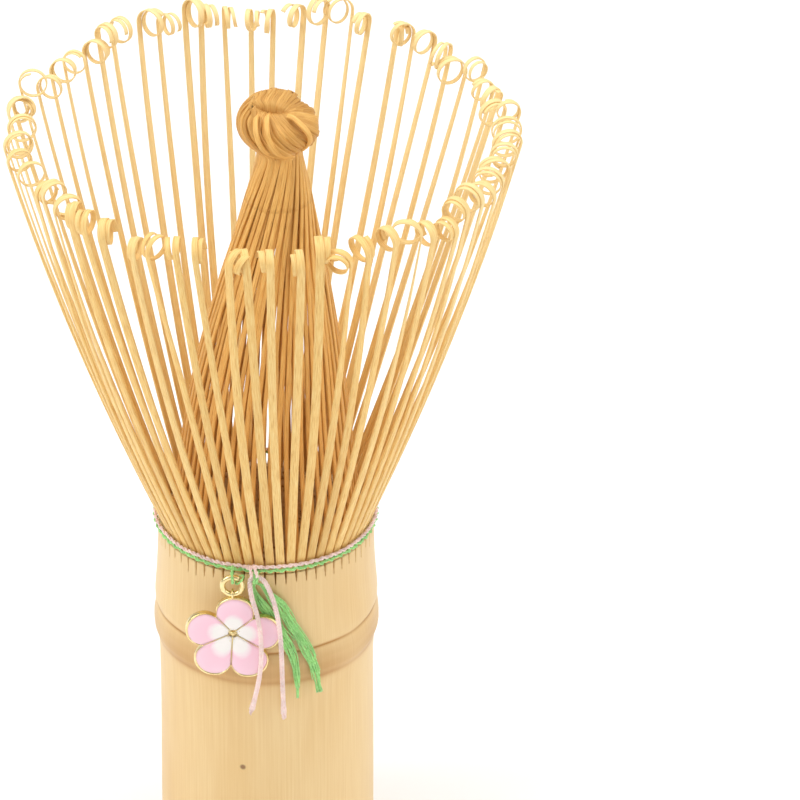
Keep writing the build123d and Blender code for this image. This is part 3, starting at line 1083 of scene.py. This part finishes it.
def make_tails():
    """The hanging ends of the threads, each colour one cord folded at the knot."""
    for colour, route, diameter, length in (
        ("pink", PINK_ROUTE, PINK_DIAMETER, PINK_LENGTH),
        ("green", GREEN_ROUTE, GREEN_DIAMETER, GREEN_LENGTH),
    ):
        line = nurbs_line(route)
        shape = Shape()
        if colour == "pink":
            along = lengths(line)
            from_end = np.minimum(along, along[-1] - along)
            swell = 1 + 0.3 * np.clip(1 - from_end / 2.2, 0, 1)
            twisted(shape, line, *PINK_TAIL_THREAD, swell, 3)
            for end in (line, line[::-1]):
                fray(shape, end)
        else:
            fold = np.argmin(np.linalg.norm(line - np.array((HANG_X, HANG_Y, HANG_Z)), axis=1))
            floss(shape, np.vstack((line[:-1:4], line[-1:])), lengths(line)[fold])
        piece = shape.piece(f"tail_{colour}", [THREADS[colour]], "tails", f"thread_{colour}",
                            [f"tails_{colour}"])


def make_ring():
    """Jump ring: round wire bent to a ring, with its cut at the upper right."""
    shape = Shape()
    line = oval(RING_CENTRE, (RING_RADIUS, 0, 0), (0, 0, RING_RADIUS), np.linspace(*RING_CUT, 90))
    tube(shape, line, RING_WIRE, around=14)
    shape.piece("jump_ring_wire", [metal], "ring", "gold", ["jump_ring"])


# -------------------- charm

def petal_outline(angle):
    """Distance from the charm's middle to its outline, at an angle from a petal's axis."""
    off = math.radians((angle + 180 / PETALS) % (360 / PETALS) - 180 / PETALS)
    across = PETAL_REACH * math.sin(off)
    notch = NOTCH_DEPTH * math.exp(-((math.pi / PETALS - abs(off)) / 0.11) ** 2)
    return PETAL_REACH * math.cos(off) + math.sqrt(PETAL_RADIUS**2 - across**2) - notch


def charm_point(angle, share, depth, inset=0.0):
    """Point of the charm: share of the way from its heart to its outline, depth behind its front."""
    reach = (petal_outline(angle) - inset) * share
    turn = 90 + CHARM_TILT + angle
    heart = CHARM_CENTRE_RISE * (1 - share)
    height = CHARM_CENTRE.z + reach * sine(turn) + heart
    return CHARM_CENTRE.x + reach * cosine(turn), CHARM_FRONT + depth, height


def round_rings(place, levels, sizes, around):
    """Rings about a place on the charm's front, each at its level in front of it."""
    angles = np.arange(0, 360, 360 / around)
    return [
        oval((place[0], place[1] - level, place[2]), (size, 0, 0), (0, 0, size), angles)
        for level, size in zip(levels, sizes)
    ]


def make_plate():
    """Cast blossom with a raised rim, ridges between the petals, a heart with beads, and a bail."""
    angles = np.arange(0, 360, 1.5)
    plate = Shape()
    rings = [[charm_point(angle, share, depth) for angle in angles] for share, depth in PLATE_PROFILE]
    plate.rings(rings, np.append(angles, 360) * 0.1, range(len(rings)))
    for ridge in range(PETALS):
        angle = (ridge + 0.5) * 360 / PETALS
        line = [charm_point(angle, share, 0.12) for share in np.linspace(0.06, 0.97, 12)]
        tube(plate, line, RIDGE_RADIUS)

    turns = np.radians(np.linspace(90, 0, 6))
    dome = round_rings(
        charm_point(0, 0, 0.05), HEART_HEIGHT * np.sin(turns), HEART_RADIUS * np.cos(turns) + 0.02, 18
    )
    plate.rings(dome, np.arange(19) * 0.2, range(6))
    turns = np.radians(np.linspace(90, -30, 5))
    for bead in range(PETALS * 2):
        place = charm_point((bead + 0.5) * 180 / PETALS, 0.12 if bead % 2 else 0.17, 0.04)
        rings = round_rings(place, 0.1 * np.sin(turns), BEAD_RADIUS * np.cos(turns) + 0.01, 8)
        plate.rings(rings, np.arange(9) * 0.1, range(5))

    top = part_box("charm_plate")[1].z / MM
    middle = (RING_CENTRE.x, HANG_Y, top - BAIL_TOP_GAP - BAIL_RADIUS)
    bail = oval(middle, (0, BAIL_HALF_DEPTH, 0), (0, 0, BAIL_RADIUS), np.linspace(0, 360, 40))
    tube(plate, bail, BAIL_WIRE, around=10)
    plate.piece("charm_plate_cast", [metal], "charm", "gold", ["charm_plate"])


def make_enamel():
    """The filled cell of each petal, crowned, with its back on the floor of the cell."""
    half = 180 / PETALS
    for index in range(PETALS):
        middle = index * 2 * half
        rings, shades = [], []
        for share in np.linspace(ENAMEL_START, 1, ENAMEL_ROWS):
            limit = half * (1 - 0.028 / share)
            end = math.sin(math.pi * min(1.0, max(0.0, (share - 0.08) / 0.92))) ** 0.35
            offsets = np.linspace(-limit, limit, ENAMEL_COLUMNS)
            ring = []
            for off in offsets:
                crown = ENAMEL_CROWN * ((1 - (abs(off) / limit) ** 4) * end) ** 0.5
                ring.append(charm_point(middle + off, share, ENAMEL_EDGE - crown, RIM_WIDTH))
            ring += [charm_point(middle + off, share, ENAMEL_FLOOR, RIM_WIDTH) for off in offsets[::-1]]
            rings.append(ring)
            shades.append([share] * len(ring))
        shape = Shape()
        shape.rings(rings, np.arange(2 * ENAMEL_COLUMNS + 1) * 0.3, np.arange(ENAMEL_ROWS) * 0.4, shades)
        shape.piece(f"petal_glaze_{index + 1}", [glaze], "charm", "enamel", [f"petal_enamel_{index + 1}"])


# -------------------- studio

def make_floor():
    """Plain pale floor."""
    mesh = bpy.data.meshes.new("floor")
    half = 3.0
    level = cad_box[0][2]
    corners = [(-half, -half, level), (half, -half, level), (half, half, level), (-half, half, level)]
    mesh.from_pydata(corners, [], [(0, 1, 2, 3)])
    floor = add_object("floor", mesh)
    paper, _, shader = node_material("floor_paper", 0.9)
    shader.inputs["Base Color"].default_value = (0.95, 0.95, 0.95, 1)
    mesh.materials.append(paper)


def make_light():
    """Soft light from both sides and above."""
    world = bpy.data.worlds.new("studio")
    bpy.context.scene.world = world
    world.use_nodes = True
    world.node_tree.nodes["Background"].inputs["Color"].default_value = (1.0, 1.0, 1.0, 1)
    world.node_tree.nodes["Background"].inputs["Strength"].default_value = 0.5

    target = Vector((0, 0, 0.07))
    for name, place, size, power in (
        ("key", (-0.6, -0.25, 0.55), 0.5, 2.7),
        ("fill", (0.62, -0.2, 0.4), 0.5, 1.7),
        ("top", (0.0, 0.15, 0.95), 0.9, 6.0),
    ):
        light = bpy.data.lights.new(name, "AREA")
        light.size = size
        light.energy = power
        lamp = add_object(name, light)
        lamp.location = place
        lamp.rotation_euler = (target - Vector(place)).to_track_quat("-Z", "Y").to_euler()


def make_camera():
    """Long-lens camera above the front, with the whisk to the left of the picture's middle."""
    elevation, distance, field = math.radians(32), 1.5, 0.1081
    aim = Vector((0.01824, 0, 0.07195))
    camera = bpy.data.cameras.new("camera")
    camera.sensor_width = 36
    camera.lens = 36 * distance / field
    camera.clip_end = 20
    eye = add_object("camera", camera)
    eye.location = aim + Vector((0, -math.cos(elevation), math.sin(elevation))) * distance
    eye.rotation_euler = (math.pi / 2 - elevation, 0, 0)
    bpy.context.scene.camera = eye
    bpy.context.scene.view_settings.view_transform = "Standard"


make_floor()
make_light()
make_camera()
make_tails()
make_handle()
make_tines()
make_binding()
make_knots()
make_charm_loop()
make_ring()
make_plate()
make_enamel()
